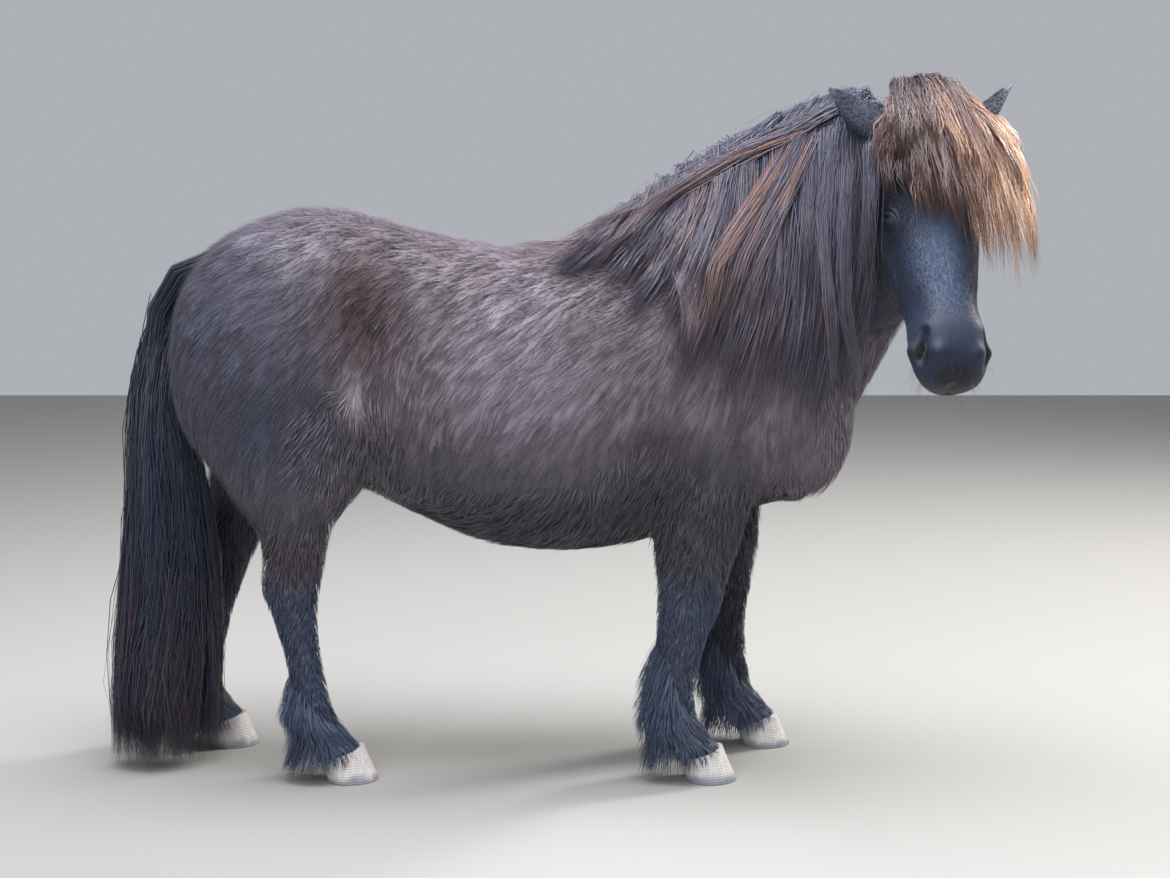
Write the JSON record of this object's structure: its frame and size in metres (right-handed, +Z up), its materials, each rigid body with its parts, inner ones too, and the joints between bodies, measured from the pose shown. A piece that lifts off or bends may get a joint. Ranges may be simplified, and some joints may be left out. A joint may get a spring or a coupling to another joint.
{
  "type": "shetland pony",
  "caption": "Small thick-coated dark pony that stands square with its head turned to its right, with a long mane, forelock and tail, life size, still.",
  "frame": {"origin": "on the floor under the middle of the model's box", "axes": "+X towards the breast, +Y to the pony's left, +Z up"},
  "size_m": [1.5718, 0.6461, 1.2107],
  "materials": {
    "coat": "soft long fur",
    "muzzle": "short sleek fur",
    "mane": "long coarse hair",
    "tail": "long coarse hair",
    "hoof": "dry horn",
    "eye": "wet gloss"
  },
  "bodies": {
    "root": {"torso": "coat", "neck": "mane", "head": "muzzle", "ear_right": "coat", "ear_left": "coat", "eye_right": "eye", "eye_left": "eye", "tail": "tail", "leg_upper_fore_right": "coat", "leg_lower_fore_right": "coat", "hoof_fore_right": "hoof", "leg_upper_fore_left": "coat", "leg_lower_fore_left": "coat", "hoof_fore_left": "hoof", "leg_upper_hind_right": "coat", "leg_lower_hind_right": "coat", "hoof_hind_right": "hoof", "leg_upper_hind_left": "coat", "leg_lower_hind_left": "coat", "hoof_hind_left": "hoof"}
  },
  "joints": []
}
